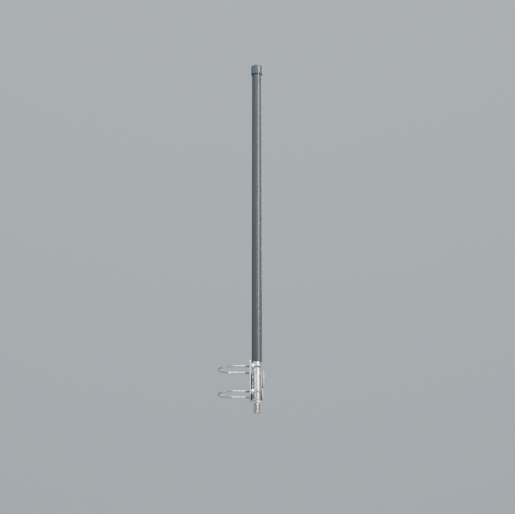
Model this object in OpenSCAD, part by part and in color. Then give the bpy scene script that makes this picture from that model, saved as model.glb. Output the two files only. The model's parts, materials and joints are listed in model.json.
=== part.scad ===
// Outdoor omnidirectional antenna: a fibreglass radome round a collinear radiator,
// on an aluminium base sleeve held in a steel cradle, with two U-bolts for the mast.
// Millimetres. +Z is up along the antenna, +X runs from the mast to the antenna.
// The origin is on the mast's axis, level with the middle of the mast plate.

/* [Radome and cap] */
// Outside diameter of the fibreglass tube
radome_d = 25; // [24:0.5:26]
// Wall of the fibreglass tube
radome_wall = 2; // [1.5:0.25:2.25]
// Length of the fibreglass tube
radome_len = 757; // [700:1:1000]
// Height of the tube's foot above the origin
radome_foot = 46; // [44:1:56]
// Wall of the top cap
cap_wall = 2; // [1.75:0.25:3]
// Height of the top cap
cap_len = 23.8; // [20:0.2:34]

/* [Base sleeve and connector] */
// Outside diameter of the aluminium sleeve below the radome
sleeve_d = 19; // [18:0.5:19.5]
// Depth of the sleeve's lower end below the origin
sleeve_drop = 46.5; // [45:0.5:50]
// Length of the sleeve that is glued up into the radome
spigot_len = 34; // [26:1:36]
// Outside diameter of the connector's thread
thread_d = 15.88; // [15.5:0.01:16]
// Length of the connector below its hexagon
thread_len = 25; // [20:1:30]

/* [Mast clamp] */
// Largest mast that the U-bolts go round
mast_d = 69; // [67:1:72]
// Diameter of the U-bolt rod
rod_d = 6; // [5:0.5:6]
// Height between the two U-bolts
bolt_spacing = 60; // [58:1:62]
// How far the U-bolts' middle lies below the plate's middle
bolt_drop = 2.5; // [0:0.5:4]
// Length of each U-bolt leg beyond the mast's axis
leg_len = 62.5; // [60:0.5:70]
// Width of the mast plate
plate_w = 92; // [90:1:100]
// Height of the mast plate
plate_h = 87; // [84:1:96]
// Thickness of the mast plate
plate_t = 4; // [3:0.5:5]

/* [Cradle] */
// Thickness of the cradle's sheet
sheet_t = 3; // [2.5:0.5:3]
// Gap between the mast plate and the antenna's axis
axis_gap = 14; // [13.5:0.5:15]
// Height of the cradle's top above the origin
cradle_top = 22; // [18:1:24]
// Depth of the cradle's foot below the origin
cradle_drop = 44.5; // [42:0.5:45]

/* [Radiator] */
// Diameter of the brass radiator rods
radiator_d = 4; // [3:0.5:5]
// Number of turns in each phasing coil
coil_turns = 4; // [3:1:5]
// Gap between neighbouring radiator rods
coil_gap = 20; // [18:1:24]

/* [Hidden] */
$fn = 64;
rods = 4;
ends = [-1, 1];

glue = 0.05;           // bond line between glued pieces, and room round a tight pin
fit = 0.3;             // room round a U-bolt leg in its hole
slip = 0.06;           // running clearance in a nut
past = 1;              // how far a cutter runs past the face that it opens
mast_r = mast_d / 2;
rod_r = rod_d / 2;
leg_y = mast_r + fit + rod_r;
face_x = mast_r + plate_t;              // antenna side of the mast plate
antenna_x = face_x + axis_gap;          // axis of the antenna

radome_r = radome_d / 2;
bore_r = radome_r - radome_wall;
radome_top = radome_foot + radome_len;
cap_r = radome_r + cap_wall;
cap_roof = 3.4;        // thickness of the cap above the tube
cap_top = radome_top + cap_roof;
cap_foot = cap_top - cap_len;
cap_round = 3;
cap_edge = 0.4;        // chamfer on the cap's lower rim
seal_h = 2.2;
seal_w = 1.2;
seal_lip = 1.2;        // how far the seal shows below the cap
seal_foot = cap_foot - seal_lip;

sleeve_r = sleeve_d / 2;
spigot_r = bore_r - glue;
spigot_top = radome_foot + spigot_len;
spigot_edge = 1;       // chamfer that leads the spigot into the tube
sleeve_foot = -sleeve_drop;
sleeve_edge = 0.6;
coax_bore = 4;
socket_r = 6.5;
socket_len = 8;
socket_top = sleeve_foot + socket_len;
groove_r = 8.9;
groove_w = 2.4;
groove_z = radome_foot + 22;
o_ring_w = 2;

thread_r = thread_d / 2;
thread_edge = 0.8;
gasket_t = 0.8;
gasket_inset = 0.4;    // how far the gasket lies in from the hexagon's flats
gasket_foot = sleeve_foot - gasket_t;
hex_h = 6;             // height of the hexagon with its gasket
hex_af = 15.8;
hex_edge = 0.7;
hex_top = gasket_foot - glue;
hex_foot = sleeve_foot - hex_h;
thread_foot = hex_foot - thread_len;
relief_h = 1.5;        // plain neck between the hexagon and the thread
relief_r = 7.1;
mouth_r = 4.05;
mouth_len = 11;        // depth of the mouth down to the insulator
contact_r = 1.5;
contact_bore = 0.85;
contact_recess = 5;    // how far the contact's tip stands back in the mouth
contact_depth = 6;     // depth of the hole in the contact's tip
contact_tail = 0.4;    // length that reaches into the sleeve's bore

coax_r = 1.8;
dielectric_r = 1.5;
core_r = 0.46;
coax_foot = socket_top + 0.5;
strip = 1;             // step between the bared ends of shield, dielectric and core
feed_z = radome_foot + 122;
choke_r = 6;
choke_wall = 0.75;
choke_len = 78;
choke_lid = 1.5;
choke_top = feed_z - 4;
tip_z = radome_top - 16;
plug_grip = 6;         // length of the top rod held by the tip plug
radiator_r = radiator_d / 2;
rod_len = (tip_z - feed_z - (rods - 1) * coil_gap) / rods;
rod_pitch = rod_len + coil_gap;
former_r = 5;
former_grip = 3;
wire_r = 0.6;
wire_gap = 0.1;        // air between the coil and its former
wire_sides = 8;
steps_a_turn = 18;
tail_drop = wire_r + 0.2;   // how far a coil's tail lies clear of the former's end
spacer_len = 12;
spacer_r = bore_r - 0.2;

washer_r = 6;
washer_t = 1.2;
spring_r = 5.2;
spring_t = 1.4;
spring_split = 12;     // degrees of the slit
seat = 0.05;           // air between a nut and its spring washer
nut_af = 10;
nut_h = 5;
nut_edge = 0.6;
leg_edge = 0.8;
hole_r = rod_r + fit;

web_y = sleeve_r + glue;                // front of the cradle's back wall
bend_in = 2;
bend_out = bend_in + sheet_t;
lip_gap = 14;                           // room from the antenna's axis to the lip
lip_x = antenna_x + lip_gap + sheet_t;  // outer face of the cradle's upper lip
lip_step = 2;                           // the lower lip stands this much closer
lip_y = -4;                             // front edge of both lips
slot_z = [-20, -16];                    // relief slot between the two lips
bend_y = web_y + bend_out;              // where the bend runs into the foot
foot_run = 8;                           // length of the foot next to the bend
foot_y = plate_w / 2;
foot_x = face_x + sheet_t;
corner = 6;
rivet_z = [-34, -10, 12, 34];
rivet_y = 23;
rivet_r = 2.2;
rivet_head_r = 4;
rivet_head_h = 1.9;
rivet_slope = 1.2;
rivet_inset = 0.1;     // how far the rivet's end lies below the mast's side
screw_z = [-32, 9];
screw_r = 2.5;
screw_grip = 4.6;
screw_head_r = 4.25;
screw_head_h = 5;
screw_key = 4;         // hexagon socket, across its flats
screw_key_len = 2.6;
screw_end = 0.2;       // air at the blind end of the screw's hole
screw_washer_r = 5;
screw_washer_t = 1;
grub_z = -6;
grub_turn = -139;      // direction of the grub screw, in degrees from +X
grub_r = 2;
grub_len = 4;
grub_key = 2;          // hexagon socket, across its flats
grub_key_len = 2;
grub_inset = 0.7;      // how far the grub screw lies below the sleeve's surface
grub_end = 0.1;        // air at the blind end of its hole

nut_ids = [
    ["upper_front_nut", -1, 1],
    ["upper_rear_nut", 1, 1],
    ["lower_front_nut", -1, -1],
    ["lower_rear_nut", 1, -1]
];

// Points along an arc about centre c, from angle a to angle b
function arc(c, r, a, b, n = 8) =
    [for (i = [0:n]) c + r * [cos(a + (b - a) * i / n), sin(a + (b - a) * i / n)]];

// Height of a U-bolt: level is 1 for the upper one and -1 for the lower one
function bolt_z(level) = level * bolt_spacing / 2 - bolt_drop;

// Distance across the corners of a hexagon
function corners(flats) = flats / cos(30);

// A round bar between two heights
module rod(r, z0, z1) {
    translate([0, 0, z0])
        cylinder(r = r, h = z1 - z0);
}

// A round tube between two radii and two heights
module ring(r_out, r_in, z0, z1) {
    difference() {
        rod(r_out, z0, z1);
        rod(r_in, z0 - past, z1 + past);
    }
}

// Moves children from the origin's upright to the antenna's axis
module on_antenna() {
    translate([antenna_x, 0, 0])
        children();
}

// Turns children so that their +Z lies along +X
module along_x() {
    rotate([0, 90, 0])
        children();
}

// Turns children so that their +Z lies along +Y
module along_y() {
    rotate([-90, 0, 0])
        children();
}

// Moves children to the point where a U-bolt leg passes x, with their +Z along the leg
module on_leg(side, level, x) {
    translate([x, side * leg_y, bolt_z(level)])
        along_x()
            children();
}

// A hexagon bar with the corners of both ends turned off
module chamfered_hex(flats, z0, z1, edge) {
    flat_r = flats / 2 - 0.1;
    corner_r = corners(flats) / 2 + 0.1;
    intersection() {
        rotate([0, 0, 30])
            translate([0, 0, z0])
                cylinder(d = corners(flats), h = z1 - z0, $fn = 6);
        rotate_extrude()
            polygon([
                [0, z0], [flat_r, z0], [corner_r, z0 + edge],
                [corner_r, z1 - edge], [flat_r, z1], [0, z1]
            ]);
    }
}

// ---- radome ----

module radome_tube() {
    color("slategray")
        on_antenna()
            ring(radome_r, bore_r, radome_foot, radome_top);
}

module top_cap() {
    inner = radome_r + glue;
    recess_r = radome_r + seal_w;
    recess_top = seal_foot + seal_h;
    profile = concat(
        [[0, radome_top + glue], [inner, radome_top + glue]],
        [[inner, recess_top], [recess_r, recess_top], [recess_r, cap_foot]],
        [[cap_r - cap_edge, cap_foot], [cap_r, cap_foot + cap_edge]],
        arc([cap_r - cap_round, cap_top - cap_round], cap_round, 0, 90),
        [[0, cap_top]]
    );
    color("lightslategray")
        on_antenna()
            rotate_extrude()
                polygon(profile);
}

module cap_seal() {
    color("dimgray")
        on_antenna()
            ring(radome_r + seal_w - glue, radome_r + glue, seal_foot, seal_foot + seal_h - glue);
}

module tip_plug() {
    color("white")
        on_antenna()
            difference() {
                rod(spacer_r, tip_z - plug_grip, radome_top - glue);
                rod(radiator_r + glue, tip_z - plug_grip - past, tip_z + glue);
            }
}

// ---- radiator ----

function rod_foot(i) = feed_z + (i - 1) * rod_pitch;

module radiator(i) {
    color("goldenrod")
        on_antenna()
            rod(radiator_r, rod_foot(i), rod_foot(i) + rod_len);
}

module coil_former(i) {
    z0 = rod_foot(i) + rod_len;
    color("ivory")
        on_antenna()
            difference() {
                rod(former_r, z0 - former_grip, z0 + coil_gap + former_grip);
                rod(radiator_r + glue, z0 - former_grip - past, z0 + glue);
                rod(radiator_r + glue, z0 + coil_gap - glue, z0 + coil_gap + former_grip + past);
            }
}

// Centre line of a coil: a tail out from the rod, the turns, and a tail back in
function coil_path(z0, z1, r_in, r_turn) =
    let (
        steps = coil_turns * steps_a_turn,
        first = z0 + 3 * wire_r,
        climb = z1 - z0 - 6 * wire_r,
        turns = [for (k = [0:steps])
            let (a = 360 * k / steps_a_turn)
            [r_turn * cos(a), r_turn * sin(a), first + climb * k / steps]]
    )
    concat(
        [[r_in, 0, z0 - tail_drop], [r_turn, 0, z0 - tail_drop]],
        turns,
        [[r_turn, 0, z1 + tail_drop], [r_in, 0, z1 + tail_drop]]
    );

// A vector of length 1 in the direction of v
function unit(v) = v / norm(v);

// Ring of points round path point k, square to the path
function wire_ring(path, k, r) =
    let (
        last = len(path) - 1,
        t = unit(path[min(k + 1, last)] - path[max(k - 1, 0)]),
        side = unit(cross(t, abs(t[2]) < 0.8 ? [0, 0, 1] : [0, 1, 0])),
        up = cross(side, t)
    )
    [for (s = [0:wire_sides - 1])
        let (a = 360 * s / wire_sides)
        path[k] + r * (cos(a) * side + sin(a) * up)];

// A round wire of radius r along a path, with a flat cap on each end
module wire(path, r) {
    last = len(path) - 1;
    points = [for (k = [0:last]) each wire_ring(path, k, r)];
    walls = [for (k = [0:last - 1]) for (s = [0:wire_sides - 1])
        let (a = k * wire_sides + s, b = k * wire_sides + (s + 1) % wire_sides)
        [a, b, b + wire_sides, a + wire_sides]];
    foot = [for (s = [0:wire_sides - 1]) wire_sides - 1 - s];
    head = [for (s = [0:wire_sides - 1]) last * wire_sides + s];
    polyhedron(points = points, faces = concat(walls, [foot], [head]));
}

module phasing_coil(i) {
    z0 = rod_foot(i) + rod_len - former_grip;
    z1 = rod_foot(i + 1) + former_grip;
    color("peru")
        on_antenna()
            wire(coil_path(z0, z1, radiator_r + wire_r, former_r + wire_r + wire_gap), wire_r);
}

module foam_spacer(i) {
    middle = rod_foot(i) + rod_len / 2;
    color("whitesmoke")
        on_antenna()
            ring(spacer_r, radiator_r + glue, middle - spacer_len / 2, middle + spacer_len / 2);
}

module choke_sleeve() {
    color("gold")
        on_antenna() {
            ring(choke_r, choke_r - choke_wall, choke_top - choke_len, choke_top);
            ring(choke_r, coax_r + glue, choke_top, choke_top + choke_lid);
        }
}

module coax_shield() {
    color("chocolate")
        on_antenna()
            ring(coax_r, dielectric_r, coax_foot, feed_z - 2 * strip);
}

module coax_dielectric() {
    color("white")
        on_antenna()
            ring(dielectric_r, core_r, coax_foot, feed_z - strip);
}

module coax_core() {
    color("orange")
        on_antenna()
            rod(core_r, coax_foot, feed_z - glue);
}

// ---- base sleeve and connector ----

// Turns children so that their +Z runs out along the grub screw's axis
module on_grub_axis() {
    rotate([0, 0, grub_turn])
        translate([0, 0, grub_z])
            along_x()
                children();
}

module base_sleeve() {
    profile = [
        [coax_bore, spigot_top], [coax_bore, socket_top],
        [socket_r + glue, socket_top], [socket_r + glue, sleeve_foot],
        [sleeve_r - sleeve_edge, sleeve_foot], [sleeve_r, sleeve_foot + sleeve_edge],
        [sleeve_r, radome_foot - glue], [spigot_r, radome_foot - glue],
        [spigot_r, groove_z - groove_w / 2], [groove_r, groove_z - groove_w / 2],
        [groove_r, groove_z + groove_w / 2], [spigot_r, groove_z + groove_w / 2],
        [spigot_r, spigot_top - spigot_edge], [spigot_r - spigot_edge, spigot_top]
    ];
    color("silver")
        on_antenna()
            difference() {
                rotate_extrude()
                    polygon(profile);
                for (z = screw_z)
                    translate([0, 0, z])
                        along_y()
                            rod(screw_r + glue, sleeve_r - screw_grip, sleeve_r + past);
                on_grub_axis()
                    rod(grub_r + glue, sleeve_r - grub_inset - grub_len - grub_end, sleeve_r + past);
            }
}

module base_o_ring() {
    color("black")
        on_antenna()
            ring(spigot_r, groove_r + glue, groove_z - o_ring_w / 2, groove_z + o_ring_w / 2);
}

module sleeve_grub_screw() {
    end_r = sleeve_r - grub_inset;
    color("dimgray")
        on_antenna()
            on_grub_axis()
                difference() {
                    rod(grub_r, end_r - grub_len, end_r);
                    translate([0, 0, end_r - grub_key_len])
                        cylinder(d = corners(grub_key), h = grub_key_len + past, $fn = 6);
                }
}

module connector_gasket() {
    color("black")
        on_antenna()
            ring(hex_af / 2 - gasket_inset, socket_r + glue, gasket_foot, sleeve_foot - glue);
}

module connector_shell() {
    neck_foot = hex_foot - relief_h;
    color("lightgray")
        on_antenna()
            difference() {
                union() {
                    rod(socket_r, hex_top - past, socket_top - glue);
                    chamfered_hex(hex_af, hex_foot, hex_top, hex_edge);
                    rod(relief_r, neck_foot - past, hex_foot + past);
                    rotate_extrude()
                        polygon([
                            [0, thread_foot], [thread_r - thread_edge, thread_foot],
                            [thread_r, thread_foot + thread_edge], [thread_r, neck_foot], [0, neck_foot]
                        ]);
                }
                rod(mouth_r, thread_foot - past, socket_top + past);
            }
}

module connector_insulator() {
    color("white")
        on_antenna()
            ring(mouth_r - glue, contact_r + glue, thread_foot + mouth_len, socket_top - 1);
}

module centre_contact() {
    tip = thread_foot + contact_recess;
    color("gold")
        on_antenna()
            difference() {
                rod(contact_r, tip, socket_top + contact_tail);
                rod(contact_bore, tip - past, tip + contact_depth);
            }
}

// ---- bracket ----

// Rectangle with its corners rounded, centred on the origin
module rounded(w, h, r) {
    polygon(concat(
        arc([w / 2 - r, h / 2 - r], r, 0, 90),
        arc([-w / 2 + r, h / 2 - r], r, 90, 180),
        arc([-w / 2 + r, -h / 2 + r], r, 180, 270),
        arc([w / 2 - r, -h / 2 + r], r, 270, 360)
    ));
}

// Cutter for a hole right through the mast plate and the cradle's foot
module through_x(y, z, r) {
    translate([0, y, z])
        along_x()
            rod(r, mast_r - past, foot_x + past);
}

module mast_plate() {
    color("gainsboro")
        difference() {
            translate([mast_r, 0, 0])
                rotate([90, 0, 90])
                    linear_extrude(height = plate_t)
                        rounded(plate_w, plate_h, corner);
            for (side = ends, level = ends)
                through_x(side * leg_y, bolt_z(level), hole_r);
            for (z = rivet_z)
                through_x(rivet_y, z, rivet_r + glue);
        }
}

// Plan of the cradle: foot, back wall and lip, with the lip's outer face at x
function cradle_plan(x) =
    let (
        foot_bend = [face_x + bend_out, bend_y],
        lip_bend = [x - bend_out, web_y - bend_in]
    )
    concat(
        [[face_x, bend_y + foot_run]],
        arc(foot_bend, bend_out, 180, 270),
        arc(lip_bend, bend_in, 90, 0),
        [[x - sheet_t, lip_y], [x, lip_y]],
        arc(lip_bend, bend_out, 0, 90),
        arc(foot_bend, bend_in, 270, 180),
        [[foot_x, bend_y + foot_run]]
    );

// One height of the cradle's bent sheet
module cradle_band(x, z0, z1) {
    translate([0, 0, z0])
        linear_extrude(height = z1 - z0)
            polygon(cradle_plan(x));
}

// The flat foot of the cradle, behind the mast plate's rear half
module cradle_foot() {
    start_y = bend_y + 1;
    translate([face_x, (foot_y + start_y) / 2, 0])
        rotate([90, 0, 90])
            linear_extrude(height = sheet_t)
                rounded(foot_y - start_y, plate_h, corner / 2);
}

module cradle() {
    slot_x = lip_x - lip_step - bend_out;
    color("lightsteelblue")
        difference() {
            union() {
                cradle_band(lip_x, slot_z[0], cradle_top);
                cradle_band(lip_x - lip_step, -cradle_drop, slot_z[1]);
                cradle_foot();
            }
            translate([slot_x, lip_y - past, slot_z[0]])
                cube([lip_x - slot_x + past, web_y + sheet_t - lip_y + 2 * past, slot_z[1] - slot_z[0]]);
            for (level = ends)
                through_x(leg_y, bolt_z(level), hole_r);
            for (z = rivet_z)
                through_x(rivet_y, z, rivet_r + glue);
            for (z = screw_z)
                translate([antenna_x, 0, z])
                    along_y()
                        rod(screw_r + glue, web_y - past, web_y + sheet_t + past);
        }
}

// Rivets with sloped heads, through the cradle's foot and the mast plate
module cradle_rivets() {
    color("silver")
        for (z = rivet_z)
            translate([0, rivet_y, z])
                along_x() {
                    rod(rivet_r, mast_r + rivet_inset, foot_x + rivet_inset);
                    translate([0, 0, foot_x])
                        cylinder(r1 = rivet_head_r, r2 = rivet_head_r - rivet_slope, h = rivet_head_h);
                }
}

module cradle_screws() {
    seat_y = web_y + sheet_t + screw_washer_t;
    head_y = seat_y + screw_head_h;
    color("silver")
        for (z = screw_z)
            translate([antenna_x, 0, z])
                along_y()
                    difference() {
                        union() {
                            rod(screw_r, sleeve_r - screw_grip + screw_end, seat_y + past);
                            rod(screw_head_r, seat_y, head_y);
                        }
                        translate([0, 0, head_y - screw_key_len])
                            cylinder(d = corners(screw_key), h = screw_key_len + past, $fn = 6);
                    }
}

module cradle_screw_washers() {
    color("lightgray")
        for (z = screw_z)
            translate([antenna_x, 0, z])
                along_y()
                    ring(screw_washer_r, screw_r + glue, web_y + sheet_t, web_y + sheet_t + screw_washer_t);
}

// ---- mast clamp ----

// Face that a washer lies on: the mast plate at the front leg, the cradle's foot at the rear leg
function clamp_face(side) = side < 0 ? face_x : foot_x;

module flat_washers() {
    color("lightgray")
        for (side = ends, level = ends)
            on_leg(side, level, clamp_face(side))
                ring(washer_r, hole_r, 0, washer_t);
}

module spring_washers() {
    color("silver")
        for (side = ends, level = ends)
            on_leg(side, level, clamp_face(side) + washer_t)
                rotate_extrude(angle = 360 - spring_split)
                    translate([hole_r, 0])
                        square([spring_r - hole_r, spring_t]);
}

module u_bolt(level) {
    color("white") {
        translate([0, 0, bolt_z(level)])
            rotate([0, 0, 90])
                rotate_extrude(angle = 180)
                    translate([leg_y, 0])
                        circle(r = rod_r);
        for (side = ends)
            on_leg(side, level, 0)
                rotate_extrude()
                    polygon([
                        [0, 0], [rod_r, 0], [rod_r, leg_len - leg_edge],
                        [rod_r - leg_edge, leg_len], [0, leg_len]
                    ]);
    }
}

module nut(side, level) {
    color("silver")
        on_leg(side, level, clamp_face(side) + washer_t + spring_t + seat)
            difference() {
                chamfered_hex(nut_af, 0, nut_h, nut_edge);
                rod(rod_r + slip, -past, nut_h + past);
            }
}

radome_tube();
top_cap();
cap_seal();
tip_plug();
for (i = [1:rods])
    radiator(i);
for (i = [1:rods - 1])
    phasing_coil(i);
for (i = [1:rods - 1])
    coil_former(i);
for (i = [1:rods])
    foam_spacer(i);
choke_sleeve();
coax_shield();
coax_dielectric();
coax_core();
base_sleeve();
base_o_ring();
sleeve_grub_screw();
connector_gasket();
connector_shell();
connector_insulator();
centre_contact();
mast_plate();
cradle();
cradle_rivets();
cradle_screws();
cradle_screw_washers();
flat_washers();
spring_washers();
u_bolt(1);  // upper_u_bolt
u_bolt(-1);  // lower_u_bolt
for (n = nut_ids)
    nut(n[1], n[2]);
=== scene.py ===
"""Looks, lights and camera of the omnidirectional antenna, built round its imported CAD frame."""
import json
import math

import bmesh
import bpy
from mathutils import Matrix, Vector


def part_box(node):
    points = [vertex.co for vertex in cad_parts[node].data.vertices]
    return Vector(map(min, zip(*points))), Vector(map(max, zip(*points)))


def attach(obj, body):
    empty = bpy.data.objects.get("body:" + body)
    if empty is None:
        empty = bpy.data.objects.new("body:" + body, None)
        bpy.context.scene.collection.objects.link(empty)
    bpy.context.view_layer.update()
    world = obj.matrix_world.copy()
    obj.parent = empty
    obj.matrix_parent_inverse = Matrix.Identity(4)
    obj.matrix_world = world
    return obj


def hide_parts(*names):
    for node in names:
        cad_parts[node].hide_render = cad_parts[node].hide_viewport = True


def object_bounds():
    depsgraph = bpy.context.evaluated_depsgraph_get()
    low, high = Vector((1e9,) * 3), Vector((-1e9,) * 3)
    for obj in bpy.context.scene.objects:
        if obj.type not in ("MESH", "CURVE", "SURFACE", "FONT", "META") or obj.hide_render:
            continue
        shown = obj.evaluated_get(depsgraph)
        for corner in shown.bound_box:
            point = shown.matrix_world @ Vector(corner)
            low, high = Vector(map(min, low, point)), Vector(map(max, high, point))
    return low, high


MM = 0.001
MERGE = 1e-7        # corners of a new mesh closer than this are one
CAD_MERGE = 1e-6    # the same for a CAD mesh

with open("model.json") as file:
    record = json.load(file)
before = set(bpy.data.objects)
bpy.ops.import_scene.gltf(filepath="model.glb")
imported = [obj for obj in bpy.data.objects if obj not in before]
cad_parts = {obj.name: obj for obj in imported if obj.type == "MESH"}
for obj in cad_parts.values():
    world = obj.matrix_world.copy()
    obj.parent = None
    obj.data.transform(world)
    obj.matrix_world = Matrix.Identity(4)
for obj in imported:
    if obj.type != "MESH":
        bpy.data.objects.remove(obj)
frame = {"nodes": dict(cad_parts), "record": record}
cad_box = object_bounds()
SLOT_OF = {part["node"]: part["material_slot"] for part in frame["record"]["subparts"]}
BODY_OF = {
    node: body
    for body, nodes in frame["record"]["behaviour"]["bodies"].items()
    for node in nodes
}


# ---- measures taken from the frame ----

def low(node):
    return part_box(node)[0]


def high(node):
    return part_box(node)[1]


def middle(node):
    return (low(node) + high(node)) / 2


def radius(node):
    """Half the width of a node along Y: the outer radius of a piece turned about the antenna."""
    return (high(node).y - low(node).y) / 2


AXIS_X = middle("radome_tube").x
TUBE_R = radius("radome_tube")
LEG_Y = middle("upper_rear_nut").y
BOLT_Z = {1: middle("upper_front_nut").z, -1: middle("lower_front_nut").z}


# ---- measures that the frame's boxes don't give, as in the part's source ----

TUBE_WALL = 2 * MM
GLUE = 0.05 * MM            # gap between pieces that touch
SLEEVE_R = 9.5 * MM
SOCKET_BORE = 6.55 * MM     # round the connector's barrel, in the sleeve and the gasket
NUTS = {                    # side (-1 is the front) and level (1 is the upper U-bolt)
    "upper_front_nut": (-1, 1),
    "upper_rear_nut": (1, 1),
    "lower_front_nut": (-1, -1),
    "lower_rear_nut": (1, -1),
}
ON_AXIS = Matrix.Translation((AXIS_X, 0, 0))
ALONG_X = Matrix.Rotation(math.pi / 2, 4, "Y")
ALONG_Y = Matrix.Rotation(-math.pi / 2, 4, "X")


# ---- mesh helpers ----

def fillet(corners, steps=4):
    """Points of a closed section through (radius, height, rounding) corners."""
    points = []
    for i, (r, z, rounding) in enumerate(corners):
        here = Vector((r, z))
        if rounding <= 0:
            points.append((r, z))
            continue
        back = (Vector(corners[i - 1][:2]) - here).normalized()
        ahead = (Vector(corners[(i + 1) % len(corners)][:2]) - here).normalized()
        half = back.angle(ahead) / 2
        centre = here + (back + ahead).normalized() * rounding / math.sin(half)
        first = here + back * rounding / math.tan(half) - centre
        last = here + ahead * rounding / math.tan(half) - centre
        turn = first.angle(last)
        for k in range(steps + 1):
            t = k / steps
            arm = first * math.sin((1 - t) * turn) + last * math.sin(t * turn)
            points.append(tuple(centre + arm / math.sin(turn)))
    return points


def spin(section, columns=96, start=0.0, sweep=math.tau, lean=0.0):
    """A closed section turned about Z. section(angle) gives as many (radius, height) points at
    every angle; lean slants the ends of a part turn, in radians a metre of height."""
    bm = bmesh.new()
    whole = sweep >= math.tau
    count = columns if whole else columns + 1
    rings = []
    for i in range(count):
        angle = start + sweep * i / columns
        ring = []
        for r, z in section(angle):
            a = angle + lean * z
            ring.append(bm.verts.new((r * math.cos(a), r * math.sin(a), z)))
        rings.append(ring)
    size = len(rings[0])
    for i in range(columns):
        here, there = rings[i], rings[(i + 1) % count]
        for k in range(size):
            m = (k + 1) % size
            bm.faces.new((here[k], there[k], there[m], here[m]))
    if not whole:
        bm.faces.new(rings[0])
        bm.faces.new(rings[-1])
    bmesh.ops.remove_doubles(bm, verts=bm.verts, dist=MERGE)
    bmesh.ops.recalc_face_normals(bm, faces=bm.faces)
    return bm


def turned(corners, columns=96, steps=4):
    """A plain turned piece from (radius, height, rounding) corners."""
    points = fillet(corners, steps)
    return spin(lambda angle: points, columns)


def ring_corners(inner, outer, foot, top, inner_edge, outer_edge):
    """Corners of a flat ring, with one rounding at its bore and one at its rim."""
    return [
        (inner, foot, inner_edge), (outer, foot, outer_edge),
        (outer, top, outer_edge), (inner, top, inner_edge),
    ]


def hex_radius(flats, angle):
    """Distance from the middle of a hexagon to its side; a flat faces angle 0."""
    sixth = math.pi / 3
    return flats / 2 / math.cos((angle + sixth / 2) % sixth - sixth / 2)


def hex_side(flats, z0, z1, edge, angle):
    """The side of a hexagon bar whose corners are turned off at both ends, from z0 to z1."""
    margin = 0.1 * MM
    face_r = flats / 2 - margin
    corner_r = flats / 2 / math.cos(math.pi / 6) + margin
    r = hex_radius(flats, angle)
    rise = edge * (r - face_r) / (corner_r - face_r)
    return [(face_r, z0), (r, z0 + rise), (r, z1 - rise), (face_r, z1)]


def thread_dip(height, angle, pitch, depth):
    """How far the surface of a right-hand thread lies below its crest."""
    phase = height / pitch - angle / math.tau
    away = abs(phase - round(phase))
    crest, root = 1 / 16, 3 / 8
    return depth * fade(away - crest, root - crest)


def fade(x, length):
    """0 where x is below 0, 1 past length, straight between."""
    return min(1, max(0, x / length))


def rows_between(z0, z1, step):
    """Heights from z0 to z1, evenly spaced at about step."""
    count = math.ceil(abs(z1 - z0) / step)
    return [z0 + (z1 - z0) * k / count for k in range(count + 1)]


def joined(parts):
    """One mesh from (mesh, matrix) pairs."""
    whole = bmesh.new()
    for bm, matrix in parts:
        bm.transform(matrix)
        piece = bpy.data.meshes.new("part")
        bm.to_mesh(piece)
        whole.from_mesh(piece)
        bpy.data.meshes.remove(piece)
        bm.free()
    return whole


def on_antenna(bm):
    """A piece made about Z, put on the antenna's axis."""
    return joined([(bm, ON_AXIS)])


def softened(node, width):
    """A CAD node's mesh with its sharp edges broken, as a sheared or pressed piece has them."""
    bm = bmesh.new()
    bm.from_mesh(frame["nodes"][node].data)
    bmesh.ops.remove_doubles(bm, verts=bm.verts, dist=CAD_MERGE)
    flat, sharp = math.radians(1), math.radians(30)
    bmesh.ops.dissolve_limit(bm, angle_limit=flat, verts=bm.verts, edges=bm.edges)
    edges = [e for e in bm.edges if len(e.link_faces) == 2 and e.calc_face_angle(0) > sharp]
    bmesh.ops.bevel(
        bm, geom=edges, offset=width, offset_type="OFFSET", segments=2, profile=0.6,
        affect="EDGES", clamp_overlap=True,
    )
    return bm


def cut(bm, cutters):
    """bm with every cutter mesh taken out of it."""
    def as_object(mesh_in):
        mesh = bpy.data.meshes.new("cut")
        mesh_in.to_mesh(mesh)
        mesh_in.free()
        return bpy.data.objects.new("cut", mesh)

    work, tool = as_object(bm), as_object(joined(cutters))
    for o in (work, tool):
        bpy.context.scene.collection.objects.link(o)
    step = work.modifiers.new("cut", "BOOLEAN")
    step.operation, step.object, step.solver = "DIFFERENCE", tool, "EXACT"
    graph = bpy.context.evaluated_depsgraph_get()
    result = bmesh.new()
    result.from_mesh(work.evaluated_get(graph).to_mesh())
    for o in (work, tool):
        mesh = o.data
        bpy.data.objects.remove(o)
        bpy.data.meshes.remove(mesh)
    return result


def show(node, bm, smooth=35):
    """Makes a mesh the shown piece for a CAD node, on its body and in its finish. Edges that
    bend by more than smooth degrees stay sharp."""
    mesh = bpy.data.meshes.new(node + "_detail")
    bm.to_mesh(mesh)
    bm.free()
    mesh.polygons.foreach_set("use_smooth", [True] * len(mesh.polygons))
    mesh.set_sharp_from_angle(angle=math.radians(smooth))
    mesh.materials.append(MATERIALS[SLOT_OF[node]])
    piece = bpy.data.objects.new(node + "_detail", mesh)
    bpy.context.scene.collection.objects.link(piece)
    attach(piece, BODY_OF[node])
    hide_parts(node)
    return piece


# ---- materials ----

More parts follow.
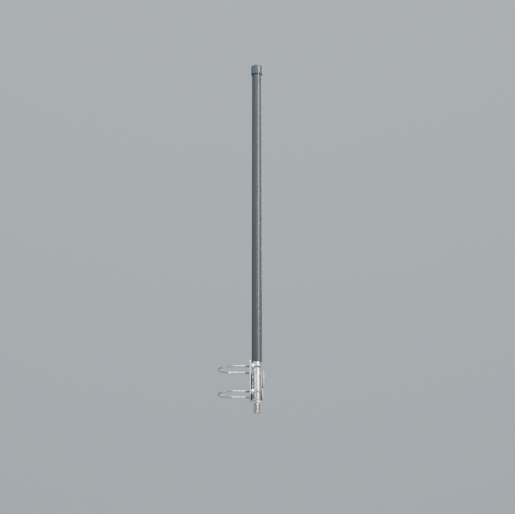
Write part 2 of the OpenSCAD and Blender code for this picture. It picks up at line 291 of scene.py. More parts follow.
class Graph:
    """Adds shader nodes to the tree of a material or of the world."""

    def __init__(self, owner):
        owner.use_nodes = True
        self.tree = owner.node_tree

    def node(self, kind, links=None, **settings):
        made = self.tree.nodes.new("ShaderNode" + kind)
        for key, value in settings.items():
            setattr(made, key, value)
        for socket, source in (links or {}).items():
            self.put(made.inputs[socket], source)
        return made

    def put(self, socket, source):
        """Links a socket to source, or sets it where source is a value."""
        if isinstance(source, bpy.types.NodeSocket):
            self.tree.links.new(source, socket)
        else:
            socket.default_value = source

    def range(self, value, low_in, high_in, low_out=0.0, high_out=1.0):
        """value, moved from one range to another and kept within it."""
        links = {
            "Value": value, "From Min": low_in, "From Max": high_in,
            "To Min": low_out, "To Max": high_out,
        }
        return self.node("MapRange", links).outputs["Result"]

    def sum(self, operation, *values):
        """One step of arithmetic, such as ADD or SQRT."""
        links = dict(enumerate(values))
        return self.node("Math", links, operation=operation).outputs[0]


class Finish(Graph):
    """A procedural material: a Principled shader with a few nodes in front of it."""

    def __init__(self, name, **sockets):
        self.material = bpy.data.materials.new(name)
        super().__init__(self.material)
        self.shader = self.tree.nodes["Principled BSDF"]
        for socket, value in sockets.items():
            self.shader.inputs[socket.replace("_", " ")].default_value = value

    def coords(self, scale=(1, 1, 1)):
        """Object coordinates in metres, times scale: less than 1 draws a pattern out that way."""
        place = self.node("TexCoord").outputs["Object"]
        return self.node("Mapping", {"Vector": place, "Scale": scale}).outputs["Vector"]

    def noise(self, size, stretch=(1, 1, 1), detail=3.0, rough=0.55):
        """Noise with features of about size metres, from 0 to 1."""
        links = {
            "Vector": self.coords(stretch), "Scale": 1 / size, "Detail": detail,
            "Roughness": rough,
        }
        return self.node("TexNoise", links).outputs["Fac"]

    def cells(self, size):
        """Soft distance pattern of cells of about size metres."""
        links = {"Vector": self.coords(), "Scale": 1 / size}
        return self.node("TexVoronoi", links, feature="SMOOTH_F1").outputs["Distance"]

    def cell_shade(self, size):
        """One random shade for each cell of about size metres."""
        links = {"Vector": self.coords(), "Scale": 1 / size}
        colour = self.node("TexVoronoi", links).outputs["Color"]
        return self.node("SeparateColor", {"Color": colour}).outputs["Red"]

    def blend(self, factor, colour_a, colour_b):
        """colour_a where factor is 0 and colour_b where it is 1."""
        made = self.node("Mix", {0: factor}, data_type="RGBA")
        for socket, colour in ((6, colour_a), (7, colour_b)):
            linked = isinstance(colour, bpy.types.NodeSocket)
            self.put(made.inputs[socket], colour if linked else (*colour, 1))
        return made.outputs[2]

    def height(self, value, depth, under=None):
        """A relief of depth metres on the surface, over the one given as under."""
        links = {"Height": value, "Distance": depth, "Strength": 1.0}
        if under is not None:
            links["Normal"] = under
        return self.node("Bump", links).outputs["Normal"]

    def done(self, colour, rough, normal=None):
        """Joins the finished patterns to the shader and gives the material."""
        for socket, source in (("Base Color", colour), ("Roughness", rough), ("Normal", normal)):
            if source is not None:
                self.put(self.shader.inputs[socket], source)
        return self.material


def radome_paint(name):
    """Satin paint on fibreglass: faint runs along the tube, orange peel and a little dust."""
    f = Finish(name, IOR=1.5, Specular_IOR_Level=0.30)
    patches = f.noise(60 * MM, (1, 1, 0.25))
    runs = f.noise(5 * MM, (1, 1, 0.03))
    specks = f.range(f.noise(1.2 * MM, detail=2), 0.62, 0.72)
    paint = f.blend(patches, (0.047, 0.055, 0.063), (0.062, 0.071, 0.080))
    paint = f.blend(f.range(runs, 0.5, 0.75, 0, 0.35), paint, (0.092, 0.102, 0.106))
    paint = f.blend(f.sum("MULTIPLY", specks, 0.25), paint, (0.19, 0.19, 0.185))
    rough = f.range(f.sum("ADD", patches, runs), 0.6, 1.4, 0.22, 0.32)
    peel = f.height(f.noise(1.6 * MM, detail=1), 0.008 * MM)
    return f.done(paint, rough, f.height(f.noise(0.35 * MM), 0.003 * MM, peel))


def cap_gloss(name):
    """Smooth moulded plastic, glossy, with handling scuffs."""
    f = Finish(name, IOR=1.5)
    patches = f.noise(9 * MM)
    scuffs = f.range(f.noise(0.8 * MM, (1, 1, 6)), 0.6, 0.75)
    colour = f.blend(patches, (0.055, 0.076, 0.088), (0.066, 0.090, 0.101))
    colour = f.blend(f.sum("MULTIPLY", scuffs, 0.25), colour, (0.18, 0.19, 0.185))
    rough = f.sum("ADD", f.range(patches, 0.3, 0.7, 0.17, 0.24), f.sum("MULTIPLY", scuffs, 0.2))
    return f.done(colour, rough, f.height(f.noise(2.5 * MM, detail=1), 0.004 * MM))


def rubber(name):
    """Matt black rubber with a little dust on it."""
    f = Finish(name, Specular_IOR_Level=0.15)
    dust = f.range(f.noise(2 * MM), 0.5, 0.75)
    colour = f.blend(f.sum("MULTIPLY", dust, 0.5), (0.020, 0.020, 0.020), (0.05, 0.048, 0.045))
    rough = f.range(dust, 0, 1, 0.75, 0.9)
    return f.done(colour, rough, f.height(f.noise(0.4 * MM), 0.02 * MM))


def foam(name):
    """Pale closed-cell foam."""
    f = Finish(name)
    cells = f.cells(0.9 * MM)
    colour = f.blend(f.range(cells, 0.1, 0.6), (0.86, 0.86, 0.83), (0.70, 0.70, 0.66))
    return f.done(colour, f.range(cells, 0, 0.8, 0.8, 0.95), f.height(cells, 0.15 * MM))


def drawn_metal(name, bright, tarnished, grain=(1, 1, 1)):
    """Bare drawn metal with tarnish and fine lines; grain stretches the lines."""
    f = Finish(name, Metallic=1.0)
    tarnish = f.range(f.noise(6 * MM), 0.45, 0.75)
    colour = f.blend(tarnish, bright, tarnished)
    lines = f.noise(0.15 * MM, grain)
    rough = f.sum("ADD", f.range(tarnish, 0, 1, 0.24, 0.42), f.range(lines, 0.3, 0.7, -0.03, 0.05))
    return f.done(colour, rough, f.height(lines, 0.004 * MM))


def white_plastic(name):
    """Turned white insulator, a little translucent."""
    f = Finish(name, Subsurface_Weight=0.15, Subsurface_Scale=0.001)
    turning = f.noise(0.2 * MM, (0.05, 0.05, 1))
    colour = f.blend(f.noise(4 * MM), (0.88, 0.88, 0.86), (0.80, 0.80, 0.77))
    return f.done(colour, f.range(turning, 0.3, 0.7, 0.38, 0.5), f.height(turning, 0.01 * MM))


def radius_from(f, x, y):
    """Distance from a vertical axis through (x, y), in metres."""
    place = f.node("SeparateXYZ", {"Vector": f.coords()})
    dx = f.sum("SUBTRACT", place.outputs["X"], x)
    dy = f.sum("SUBTRACT", place.outputs["Y"], y)
    return f.sum("SQRT", f.sum("ADD", f.sum("MULTIPLY", dx, dx), f.sum("MULTIPLY", dy, dy)))


def turned_aluminium(name):
    """Turned aluminium with a clear anodised skin: rings left by the tool, a few dull marks."""
    f = Finish(name, Metallic=1.0)
    rings = f.noise(0.22 * MM, (0.01, 0.01, 1), detail=2)
    bands = f.noise(3.5 * MM, (0.05, 0.05, 1))
    marks = f.range(f.noise(1.8 * MM, (1, 1, 0.6), detail=5), 0.58, 0.72)
    colour = f.blend(bands, (0.66, 0.67, 0.66), (0.76, 0.77, 0.76))
    colour = f.blend(f.sum("MULTIPLY", marks, 0.35), colour, (0.44, 0.45, 0.45))
    rough = f.sum("ADD", f.range(bands, 0.3, 0.7, 0.28, 0.38), f.sum("MULTIPLY", marks, 0.15))
    return f.done(colour, rough, f.height(rings, 0.006 * MM))


def nickel_plate(name):
    """Nickel on the connector, warm and a little dull, with painted shade and grime in the
    thread's roots.
    """
    f = Finish(name, Metallic=1.0)
    away = radius_from(f, AXIS_X, 0)
    outside = f.range(away, 6.9 * MM, 7.05 * MM)
    # painted shade with some grime: the thread's roots are darkened by their distance from the
    # axis, and the mouth's face is left clean
    root_shade_and_grime = f.sum("MULTIPLY", f.range(away, 7.35 * MM, 7.7 * MM, 0.7, 0.0), outside)
    root_shade_and_grime = f.sum("MULTIPLY", root_shade_and_grime, f.range(f.noise(1.5 * MM), 0.35, 0.6, 0.35, 1))
    smudge = f.noise(2.5 * MM, detail=5)
    colour = f.blend(smudge, (0.64, 0.60, 0.57), (0.76, 0.73, 0.70))
    colour = f.blend(root_shade_and_grime, colour, (0.10, 0.09, 0.08))
    rough = f.sum("ADD", f.range(smudge, 0.35, 0.65, 0.18, 0.30), f.sum("MULTIPLY", root_shade_and_grime, 0.3))
    return f.done(colour, rough, f.height(f.noise(0.3 * MM), 0.004 * MM))


def zinc_sheet(name):
    """Bright zinc on rolled steel: faint spangle, rolling grain, scratches and white bloom."""
    f = Finish(name, Metallic=1.0)
    spangle = f.cell_shade(4 * MM)
    grain = f.noise(0.25 * MM, (1, 1, 0.04))
    bloom = f.range(f.noise(7 * MM, detail=6, rough=0.65), 0.54, 0.72)
    scratches = f.range(f.noise(0.5 * MM, (1, 0.06, 1), detail=1), 0.66, 0.70)
    colour = f.blend(spangle, (0.50, 0.52, 0.53), (0.57, 0.59, 0.60))
    colour = f.blend(f.sum("MULTIPLY", bloom, 0.35), colour, (0.70, 0.70, 0.68))
    colour = f.blend(f.sum("MULTIPLY", scratches, 0.3), colour, (0.40, 0.41, 0.42))
    rough = f.sum("ADD", f.range(spangle, 0, 1, 0.31, 0.37), f.sum("MULTIPLY", bloom, 0.15))
    relief = f.height(grain, 0.006 * MM)
    return f.done(colour, rough, f.height(scratches, -0.01 * MM, relief))


def zinc_hardware(name):
    """Bright zinc on the clamp's rod and nuts, with painted shade and grime in the thread roots of
    the legs.
    """
    f = Finish(name, Metallic=1.0)
    place = f.node("SeparateXYZ", {"Vector": f.coords()})
    dy = f.sum("SUBTRACT", f.sum("ABSOLUTE", place.outputs["Y"]), LEG_Y)
    half_way = (BOLT_Z[1] + BOLT_Z[-1]) / 2
    reach = BOLT_Z[1] - half_way
    rise = f.sum("SUBTRACT", place.outputs["Z"], half_way)
    dz = f.sum("SUBTRACT", f.sum("ABSOLUTE", rise), reach)
    away = f.sum("SQRT", f.sum("ADD", f.sum("MULTIPLY", dy, dy), f.sum("MULTIPLY", dz, dz)))
    threaded = f.range(place.outputs["X"], 24 * MM, 30 * MM)
    # painted shade with some grime: the legs' thread roots are darkened so the threaded ends read
    # as dark as shaded rod undersides
    root_shade_and_grime = f.sum("MULTIPLY", f.range(away, 2.5 * MM, 2.8 * MM, 0.6, 0), threaded)
    smudge = f.noise(3 * MM, detail=5)
    bloom = f.range(f.noise(2 * MM, detail=5), 0.6, 0.75)
    colour = f.blend(smudge, (0.48, 0.50, 0.50), (0.60, 0.61, 0.59))
    colour = f.blend(f.sum("MULTIPLY", bloom, 0.3), colour, (0.66, 0.65, 0.62))
    colour = f.blend(root_shade_and_grime, colour, (0.14, 0.13, 0.12))
    rough = f.sum("ADD", f.range(smudge, 0.35, 0.65, 0.20, 0.32), f.sum("MULTIPLY", bloom, 0.2))
    return f.done(colour, rough, f.height(f.noise(0.4 * MM), 0.006 * MM))


def brass(name):
    return drawn_metal(name, (0.80, 0.60, 0.28), (0.45, 0.30, 0.14), (1, 1, 0.02))


def copper(name):
    return drawn_metal(name, (0.80, 0.42, 0.26), (0.42, 0.20, 0.12))


def gold_plate(name):
    return drawn_metal(name, (0.90, 0.68, 0.30), (0.70, 0.50, 0.22))


def stainless(name):
    return drawn_metal(name, (0.56, 0.56, 0.55), (0.36, 0.35, 0.34))


MAKERS = {
    "radome_fibreglass": radome_paint,
    "cap_plastic": cap_gloss,
    "seal_rubber": rubber,
    "spacer_foam": foam,
    "radiator_brass": brass,
    "coil_copper": copper,
    "insulator_white": white_plastic,
    "base_aluminium": turned_aluminium,
    "screw_steel": stainless,
    "connector_nickel": nickel_plate,
    "contact_gold": gold_plate,
    "bracket_zinc": zinc_sheet,
    "clamp_zinc": zinc_hardware,
}
MATERIALS = {slot: MAKERS[slot](slot) for slot in sorted(set(SLOT_OF.values()))}
for node_name, node_object in frame["nodes"].items():
    for slot in node_object.material_slots:
        slot.material = MATERIALS[SLOT_OF[node_name]]


# ---- radome and cap ----

def make_radome():
    """The tube, its ends cut square and eased."""
    z0, z1 = low("radome_tube").z, high("radome_tube").z
    bore = TUBE_R - TUBE_WALL
    corners = [
        (bore, z0, 0.2 * MM), (TUBE_R, z0, 0.4 * MM), (TUBE_R, z1, 0.3 * MM), (bore, z1, 0.2 * MM),
    ]
    return on_antenna(turned(corners, 128))


def make_cap():
    """Cap with a rounded shoulder, a low crown and a recess for the seal."""
    z0, z1 = low("top_cap").z, high("top_cap").z
    outer, inner = radius("top_cap"), TUBE_R + GLUE
    shoulder = 3 * MM
    crown = 0.35 * MM
    recess_r, recess_h = TUBE_R + 1.2 * MM, 1 * MM
    roof = high("radome_tube").z + GLUE
    corners = [
        (0, roof, 0), (inner, roof, 0), (inner, z0 + recess_h, 0.1 * MM),
        (recess_r, z0 + recess_h, 0.1 * MM), (recess_r, z0, 0.15 * MM), (outer, z0, 0.5 * MM),
        (outer, z1 - crown, shoulder), (outer * 0.45, z1 - crown * 0.2, 6 * MM), (0, z1, 0),
    ]
    return on_antenna(turned(corners, 128, 10))


def make_cap_seal():
    """Rubber ring whose lower outer edge is rounded most."""
    z0, z1 = low("cap_seal").z, high("cap_seal").z
    outer, inner = radius("cap_seal"), TUBE_R + GLUE
    eased = 0.1 * MM
    corners = [(inner, z0, eased), (outer, z0, 0.4 * MM), (outer, z1, eased), (inner, z1, eased)]
    return on_antenna(turned(corners, 128))


show("radome_tube", make_radome())
show("top_cap", make_cap())
show("cap_seal", make_cap_seal())


# ---- base sleeve and connector ----

GRUB_TURN = math.radians(-139)      # direction of the set screw, about the antenna's axis
GRUB_R = 2 * MM
GRUB_Z = middle("sleeve_grub_screw").z
SCREW_R = 2.5 * MM
SCREW_HEAD_R = 4.25 * MM
SCREW_Z = (low("cradle_screws").z + SCREW_HEAD_R, high("cradle_screws").z - SCREW_HEAD_R)
GRUB_AXIS = (
    ON_AXIS @ Matrix.Translation((0, 0, GRUB_Z)) @ Matrix.Rotation(GRUB_TURN, 4, "Z") @ ALONG_X
)


def bar(r, z0, z1):
    """A round bar from z0 to z1."""
    return turned([(0, z0, 0), (r, z0, 0), (r, z1, 0), (0, z1, 0)], 48)


def make_sleeve():
    """Sleeve with its spigot and O-ring groove, drilled for the set screw and the screws."""
    z0, z1 = low("base_sleeve").z, high("base_sleeve").z
    shoulder = low("radome_tube").z - GLUE
    spigot = TUBE_R - TUBE_WALL - GLUE
    groove_z, groove_r, groove_w = middle("base_o_ring").z, 8.9 * MM, 2.4 * MM
    bore, socket_top = 4 * MM, z0 + 8 * MM
    corners = [
        (bore, z1, 0), (bore, socket_top, 0),
        (SOCKET_BORE, socket_top, 0), (SOCKET_BORE, z0, 0.2 * MM),
        (SLEEVE_R, z0, 0.6 * MM), (SLEEVE_R, shoulder, 0), (spigot, shoulder, 0),
        (spigot, groove_z - groove_w / 2, 0), (groove_r, groove_z - groove_w / 2, 0),
        (groove_r, groove_z + groove_w / 2, 0), (spigot, groove_z + groove_w / 2, 0),
        (spigot, z1, 0.8 * MM),
    ]
    body = on_antenna(turned(corners, 128))
    hole_foot, past = SLEEVE_R - 4.8 * MM, SLEEVE_R + 0.1 * MM
    grub_hole = turned([
        (0, hole_foot, 0), (GRUB_R + GLUE, hole_foot, 0), (GRUB_R + GLUE, SLEEVE_R - 0.5 * MM, 0),
        (GRUB_R + 0.45 * MM, past, 0), (0, past, 0),
    ], 48)
    cutters = [(grub_hole, GRUB_AXIS)]
    screw_foot = SLEEVE_R - 4.6 * MM
    for z in SCREW_Z:
        hole = bar(SCREW_R + GLUE, screw_foot, SLEEVE_R + 1 * MM)
        cutters.append((hole, Matrix.Translation((AXIS_X, 0, z)) @ ALONG_Y))
    return cut(body, cutters)


def socket_recess(flats, floor, top, angle):
    """Section of a hexagon socket: its floor, its wall and a small lead-in."""
    r = hex_radius(flats, angle)
    lead = 0.2 * MM
    return [
        (0, floor), (r * 0.6, floor), (r, floor + 0.15 * MM), (r, top - lead), (r + lead, top),
    ]


def screw_side(r, pitch, foot, top, angle):
    """Threaded side of a screw, from its cone point at foot up to top."""
    depth = pitch / 2
    side = [(0, foot), (r - 0.5 * MM, foot)]
    for z in rows_between(foot + 0.4 * MM, top - 0.3 * MM, pitch / 8):
        side.append((r - thread_dip(z, angle, pitch, depth), z))
    return side


def make_grub_screw():
    """M4 set screw with a hexagon socket, sunk below the sleeve's surface."""
    top = SLEEVE_R - 0.7 * MM
    length, pitch, flats, deep = 4 * MM, 0.7 * MM, 2 * MM, 2 * MM

    def section(angle):
        side = screw_side(GRUB_R, pitch, top - length, top, angle)
        side.append((GRUB_R - 0.3 * MM, top))
        return side + socket_recess(flats, top - deep, top, angle)[::-1]

    return joined([(spin(section, 48), GRUB_AXIS)])


def make_gasket():
    """Thin rubber ring between the sleeve and the hexagon."""
    z0, z1 = low("connector_gasket").z, high("connector_gasket").z
    outer, inner = radius("connector_gasket"), SOCKET_BORE
    return on_antenna(turned(ring_corners(inner, outer, z0, z1, 0.1 * MM, 0.25 * MM)))


def make_connector():
    """Hexagon, neck, 5/8-24 thread and mouth, turned from one bar."""
    z0, z1 = low("connector_shell").z, high("connector_shell").z
    flats = 15.8 * MM
    hex_top = low("connector_gasket").z - GLUE
    hex_foot = low("base_sleeve").z - 6 * MM
    neck_foot, neck_r, fillet_r = hex_foot - 2 * MM, 7.1 * MM, 0.2 * MM
    crest, pitch, depth = 7.94 * MM, 25.4 * MM / 24, 0.62 * MM
    lead, step_up = 0.9 * MM, 0.3 * MM
    barrel_r, barrel_edge = 6.5 * MM, 0.3 * MM
    mouth, step_r, step_h, rim = 4.05 * MM, 5.3 * MM, 0.9 * MM, 0.15 * MM

    def section(angle):
        points = [(mouth, z1), (barrel_r - barrel_edge, z1), (barrel_r, z1 - barrel_edge)]
        points.append((barrel_r, hex_top))
        points += hex_side(flats, hex_foot, hex_top, 0.7 * MM, angle)[::-1]
        points += [(neck_r + fillet_r, hex_foot), (neck_r, hex_foot - fillet_r)]
        for z in rows_between(neck_foot, z0, pitch / 12):
            run_in = fade(neck_foot - z, 1.2 * pitch)
            start_r = neck_r + (crest - neck_r) * fade(neck_foot - z, step_up)
            cone = crest - lead + (z - z0)
            r = start_r - thread_dip(z, angle, pitch, depth) * run_in
            points.append((min(r, max(cone, crest - lead)), z))
        return points + [
            (step_r + rim, z0), (step_r, z0 + rim), (step_r, z0 + step_h),
            (mouth + rim, z0 + step_h), (mouth, z0 + step_h + rim),
        ]

    return on_antenna(spin(section, 96))


def make_insulator():
    """Insulator with a low collar round the contact."""
    z0, z1 = low("connector_insulator").z, high("connector_insulator").z
    outer, inner = radius("connector_insulator"), 1.55 * MM
    collar_r, collar_h, eased = inner + 0.8 * MM, 0.6 * MM, 0.1 * MM
    return on_antenna(turned([
        (inner, z0, eased), (collar_r, z0, eased), (collar_r, z0 + collar_h, eased),
        (outer, z0 + collar_h, 0.2 * MM), (outer, z1, 0.2 * MM), (inner, z1, 0),
    ], 64))


def make_contact():
    """Spring contact: a tube slit into four fingers that lean in at the tip."""
    z0, z1 = low("centre_contact").z, high("centre_contact").z
    outer, bore, depth = radius("centre_contact"), 0.85 * MM, 6 * MM
    lean, lean_h = 0.15 * MM, 3 * MM
    body = turned([
        (0, z1, 0), (0, z0 + depth, 0), (bore, z0 + depth, 0), (bore, z0, 0.1 * MM),
        (outer - lean, z0, 0.15 * MM), (outer, z0 + lean_h, 0), (outer, z1, 0.15 * MM),
    ], 64)
    slit, length = 0.35 * MM, 4.5 * MM
    cutters = []
    for quarter in range(2):
        blade = bmesh.new()
        bmesh.ops.create_cube(blade, size=1)
        size = Matrix.Diagonal((4 * outer, slit, 2 * length, 1))
        turn = Matrix.Rotation(quarter * math.pi / 2 + math.pi / 4, 4, "Z")
        cutters.append((blade, Matrix.Translation((0, 0, z0)) @ turn @ size))
    return on_antenna(cut(body, cutters))


show("base_sleeve", make_sleeve())
show("sleeve_grub_screw", make_grub_screw())
show("connector_gasket", make_gasket())
show("connector_shell", make_connector(), 50)
show("connector_insulator", make_insulator())
show("centre_contact", make_contact())


# ---- bracket ----

RIVET_Z = (-34 * MM, -10 * MM, 12 * MM, 34 * MM)


def make_rivets():
    """Blind rivets: a domed head with the hole that the drawn mandrel leaves."""
    x0, x1 = low("cradle_rivets").x, high("cradle_rivets").x
    y = middle("cradle_rivets").y
    head_r, shank, hole_r, hole_h = 4 * MM, 2.2 * MM, 1.1 * MM, 1.1 * MM
    head_foot = x1 - 1.9 * MM
    corners = [
        (0, x0, 0), (shank, x0, 0.3 * MM), (shank, head_foot, 0), (head_r, head_foot, 0.25 * MM),
        (head_r * 0.86, head_foot + 1.1 * MM, 1.2 * MM), (head_r * 0.45, x1, 0.5 * MM),
        (hole_r, x1, 0.2 * MM), (hole_r, x1 - hole_h, 0.2 * MM), (0, x1 - 0.9 * MM, 0),
    ]
    return joined([
        (turned(corners, 48), Matrix.Translation((0, y, z)) @ ALONG_X) for z in RIVET_Z
    ])


def in_screw_holes(make_piece, y=0):
    """One piece from make_piece() in each of the two holes, moved along +Y by y."""
    return joined([
        (make_piece(), Matrix.Translation((AXIS_X, y, z)) @ ALONG_Y) for z in SCREW_Z
    ])


def make_screws():
    """M5 socket head cap screws with a knurled head."""
    tip, top = low("cradle_screws").y, high("cradle_screws").y
    head_r, head_h, flats, deep = SCREW_HEAD_R, 5 * MM, 4 * MM, 2.6 * MM
    seat = top - head_h
    ridges, knurl = 30, 0.14 * MM
    pitch = 0.8 * MM

    def section(angle):
        wave = knurl * (0.5 - 0.5 * math.cos(ridges * angle))
        side = screw_side(SCREW_R, pitch, tip, seat, angle)
        head = [
            (SCREW_R, seat), (head_r - 0.3 * MM, seat), (head_r - knurl, seat + 0.3 * MM),
            (head_r - wave, seat + 0.6 * MM), (head_r - wave, top - 1.1 * MM),
            (head_r - knurl, top - 0.8 * MM), (head_r - 0.25 * MM, top - 0.35 * MM),
            (head_r - 0.6 * MM, top),
        ]
        return side + head + socket_recess(flats, top - deep, top, angle)[::-1]

    return in_screw_holes(lambda: spin(section, 180))


def washer(inner, outer, thickness):
    """A pressed flat washer, standing on z = 0."""
    edge = 0.2 * MM
    return turned(ring_corners(inner, outer, 0, thickness, edge, edge), 72, 3)


def make_screw_washers():
    """Flat washers under the two screw heads."""
    y = low("cradle_screw_washers").y
    return in_screw_holes(lambda: washer(SCREW_R + GLUE, 5 * MM, 1 * MM), y)


show("mast_plate", softened("mast_plate", 0.45 * MM), 40)
show("cradle", softened("cradle", 0.35 * MM), 40)
show("cradle_rivets", make_rivets())
show("cradle_screws", make_screws(), 25)
show("cradle_screw_washers", make_screw_washers())


# ---- mast clamp ----

ROD_R = 3 * MM
ROD_HOLE_R = 3.3 * MM       # inner radius of the washers
NUT_H = 5 * MM
NUT_FLATS = 10 * MM
ROD_PITCH = 1 * MM
THREAD_DEPTH = 0.58 * MM
THREAD_LEN = 38.5 * MM      # along each leg, from its end
WASHER_R = 6 * MM
WASHER_T = 1.2 * MM
SPRING_R = 5.2 * MM
SPRING_T = 1.4 * MM
SEAT = 0.05 * MM            # gap between a nut and its spring washer


def on_leg(side, level, x):
    """Puts a piece made along +Z on a U-bolt leg, from x."""
    return Matrix.Translation((x, side * LEG_Y, BOLT_Z[level])) @ ALONG_X


def make_nut(name):
    """Hexagon nut with its corners turned off and its bore countersunk at both ends."""
    side, level = NUTS[name]
    bore = ROD_R + 0.06 * MM
    sink = 0.55 * MM

    def section(angle):
        outside = hex_side(NUT_FLATS, 0, NUT_H, 0.6 * MM, angle)
        inside = [(bore + sink, NUT_H), (bore, NUT_H - sink), (bore, sink), (bore + sink, 0)]
        return outside + inside

    return joined([(spin(section, 96), on_leg(side, level, low(name).x))])


def under_nuts(make_piece, drop):
    """One piece from make_piece(level) on each leg, its foot drop below the nut's."""
    return joined([
        (make_piece(level), on_leg(side, level, low(name).x - drop))
        for name, (side, level) in NUTS.items()
    ])


def make_flat_washers():
    """The flat washers, under the spring washers."""
    drop = SEAT + SPRING_T + WASHER_T
    return under_nuts(lambda level: washer(ROD_HOLE_R, WASHER_R, WASHER_T), drop)


def make_spring_washers():
    """Split washers: each is a part turn that leaves a slanted slit."""
    edge = 0.12 * MM
    slit, slant = math.radians(12), 90
    points = fillet(ring_corners(ROD_HOLE_R, SPRING_R, edge, SPRING_T - edge, edge, edge), 2)

    def one(level):
        start = math.radians(55 * level)
        return spin(lambda angle: points, 90, start, math.tau - slit, slant)

    return under_nuts(one, SEAT + SPRING_T)


def make_u_bolt(level):
    """A bent rod with a rolled thread on both legs."""
    bend = LEG_Y
    leg = high("upper_u_bolt").x
    arc = math.pi * bend
    total = 2 * leg + arc

    def place(s):
        """Point and direction at length s from the front leg's end."""
        if s < leg:
            return Vector((leg - s, -bend, 0)), Vector((-1, 0, 0))
        if s < leg + arc:
            a = (s - leg) / bend
            outward = Vector((-math.sin(a), -math.cos(a), 0))
            return bend * outward, Vector((-math.cos(a), math.sin(a), 0))
        return Vector((s - leg - arc, bend, 0)), Vector((1, 0, 0))

    lead = 0.8 * MM
    stops = rows_between(0, THREAD_LEN, ROD_PITCH / 10)
    stops += rows_between(THREAD_LEN, leg, 8 * MM)[1:]
    stops += rows_between(leg, leg + arc / 2, 2 * MM)[1:]
    stops += [total - s for s in reversed(stops[:-1])]
    columns = 32
    bm = bmesh.new()
    rings = []
    for s in stops:
        centre, ahead = place(s)
        side = Vector((0, 0, 1))
        up = ahead.cross(side)
        end = min(s, total - s)
        depth = THREAD_DEPTH * fade(THREAD_LEN - end, 2 * ROD_PITCH)
        limit = ROD_R - lead + min(end, lead)
        ring = []
        for k in range(columns):
            a = math.tau * k / columns
            r = min(limit, ROD_R - thread_dip(s, a, ROD_PITCH, depth))
            ring.append(bm.verts.new(centre + r * (math.cos(a) * side + math.sin(a) * up)))
        rings.append(ring)
    for here, there in zip(rings, rings[1:]):
        for k in range(columns):
            m = (k + 1) % columns
            bm.faces.new((here[k], here[m], there[m], there[k]))
    bm.faces.new(rings[0])
    bm.faces.new(rings[-1])
    bmesh.ops.recalc_face_normals(bm, faces=bm.faces)
    return joined([(bm, Matrix.Translation((0, 0, BOLT_Z[level])))])


for nut_name in NUTS:
    show(nut_name, make_nut(nut_name))
show("flat_washers", make_flat_washers())
show("spring_washers", make_spring_washers())
show("upper_u_bolt", make_u_bolt(1), 50)
show("lower_u_bolt", make_u_bolt(-1), 50)


# ---- stage, lights and camera ----

FLOOR_Z = -2.6
FLOOR_R = 150
CAMERA_BACK = 3.495
CAMERA_DROP = 0.7092
CAMERA_RIGHT = 1.5 * MM     # of the antenna's axis
CAMERA_TILT = math.radians(16.2)
LENS = 104.85               # millimetres, like the sensor's width
SENSOR = 36
WORLD_STOPS = [             # position on the ramp from straight down to straight up, shade
    (0.40, 0.46), (0.50, 0.48), (0.72, 0.58), (1.0, 1.0),
]
WORLD_TINT = (0.90, 1.0, 1.09)
SIDE_DIM = 0.5              # how much darker the sides are
SIDE_RISE = 0.12            # height of a direction at which the dimming is full
LIGHTS = [                  # name, azimuth, elevation, distance, size, power, colour
    ("key", 39, 22, 3.6, (0.20, 3.2), 235, (1.0, 0.97, 0.92)),
    ("fill", -75, 12, 4.0, (1.8, 3.0), 36, (0.80, 0.90, 1.0)),
    ("rim", 150, 30, 4.0, (0.8, 2.6), 40, (1.0, 1.0, 1.0)),
    ("front", 6, 13, 4.2, (1.0, 1.4), 17, (1.0, 0.98, 0.95)),
    ("side", 62, 16, 3.8, (0.5, 2.6), 18, (1.0, 0.98, 0.95)),
    ("top", 20, 70, 3.6, (1.3, 1.3), 90, (1.0, 0.99, 0.97)),
]


def make_floor():
    """Plain pale floor that reaches the horizon."""
    bm = bmesh.new()
    bmesh.ops.create_circle(bm, cap_ends=True, segments=96, radius=FLOOR_R)
    mesh = bpy.data.meshes.new("floor")
    bm.to_mesh(mesh)
    bm.free()
    f = Finish("floor_pale")
    colour = f.blend(f.noise(0.6), (0.62, 0.62, 0.61), (0.66, 0.66, 0.65))
    mesh.materials.append(f.done(colour, f.range(f.noise(0.2), 0.3, 0.7, 0.7, 0.85)))
    floor = bpy.data.objects.new("floor", mesh)
    floor.location = (0, 0, FLOOR_Z)
    bpy.context.scene.collection.objects.link(floor)


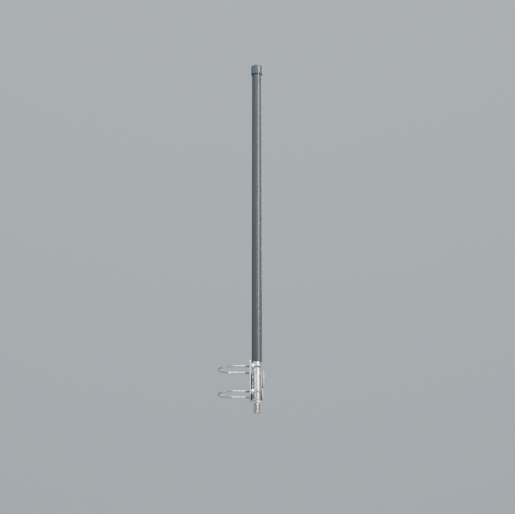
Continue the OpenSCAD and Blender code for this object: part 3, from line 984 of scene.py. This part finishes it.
def soft_light(name, azimuth, elevation, distance, size, power, colour):
    """A softbox aimed at the antenna; azimuth runs from the camera's side towards +X."""
    aim = (cad_box[0] + cad_box[1]) / 2
    a, e = math.radians(azimuth), math.radians(elevation)
    away = Vector((math.sin(a) * math.cos(e), -math.cos(a) * math.cos(e), math.sin(e)))
    lamp = bpy.data.lights.new(name, "AREA")
    lamp.shape = "RECTANGLE"
    lamp.size, lamp.size_y = size
    lamp.energy = power
    lamp.color = colour
    light = bpy.data.objects.new(name, lamp)
    light.location = aim + away * distance
    light.rotation_mode = "QUATERNION"
    light.rotation_quaternion = (-away).to_track_quat("-Z", "Y")
    bpy.context.scene.collection.objects.link(light)


def make_world():
    """Plain pale surroundings: brighter overhead, and dimmer to the left and right so that
    round metal shows its shape."""
    world = bpy.data.worlds.new("studio")
    g = Graph(world)
    way = g.node("SeparateXYZ", {"Vector": g.node("TexCoord").outputs["Generated"]})
    ramp = g.node("ValToRGB", {"Fac": g.range(way.outputs["Z"], -1, 1)})
    stops = ramp.color_ramp.elements
    stops[0].position, stops[1].position = WORLD_STOPS[0][0], WORLD_STOPS[-1][0]
    for position, _ in WORLD_STOPS[1:-1]:
        stops.new(position)
    for stop, (_, shade) in zip(stops, WORLD_STOPS):
        stop.color = (*[shade * tint for tint in WORLD_TINT], 1)
    aside = g.sum("MULTIPLY", way.outputs["X"], way.outputs["X"])
    above = g.range(way.outputs["Z"], 0, SIDE_RISE)
    dim = g.sum("MULTIPLY", g.sum("MULTIPLY", aside, above), SIDE_DIM)
    back = g.tree.nodes["Background"]
    g.put(back.inputs["Color"], ramp.outputs["Color"])
    g.put(back.inputs["Strength"], g.sum("SUBTRACT", 1.0, dim))
    bpy.context.scene.world = world


def make_camera():
    """Camera at the photo's angle: below the antenna, looking up."""
    data = bpy.data.cameras.new("camera")
    data.sensor_width = SENSOR
    data.lens = LENS
    data.clip_start, data.clip_end = 0.1, 400
    camera = bpy.data.objects.new("camera", data)
    camera.location = (AXIS_X + CAMERA_RIGHT, -CAMERA_BACK, -CAMERA_DROP)
    camera.rotation_euler = (math.pi / 2 + CAMERA_TILT, 0, 0)
    bpy.context.scene.collection.objects.link(camera)
    bpy.context.scene.camera = camera


make_floor()
make_world()
for light_settings in LIGHTS:
    soft_light(*light_settings)
make_camera()
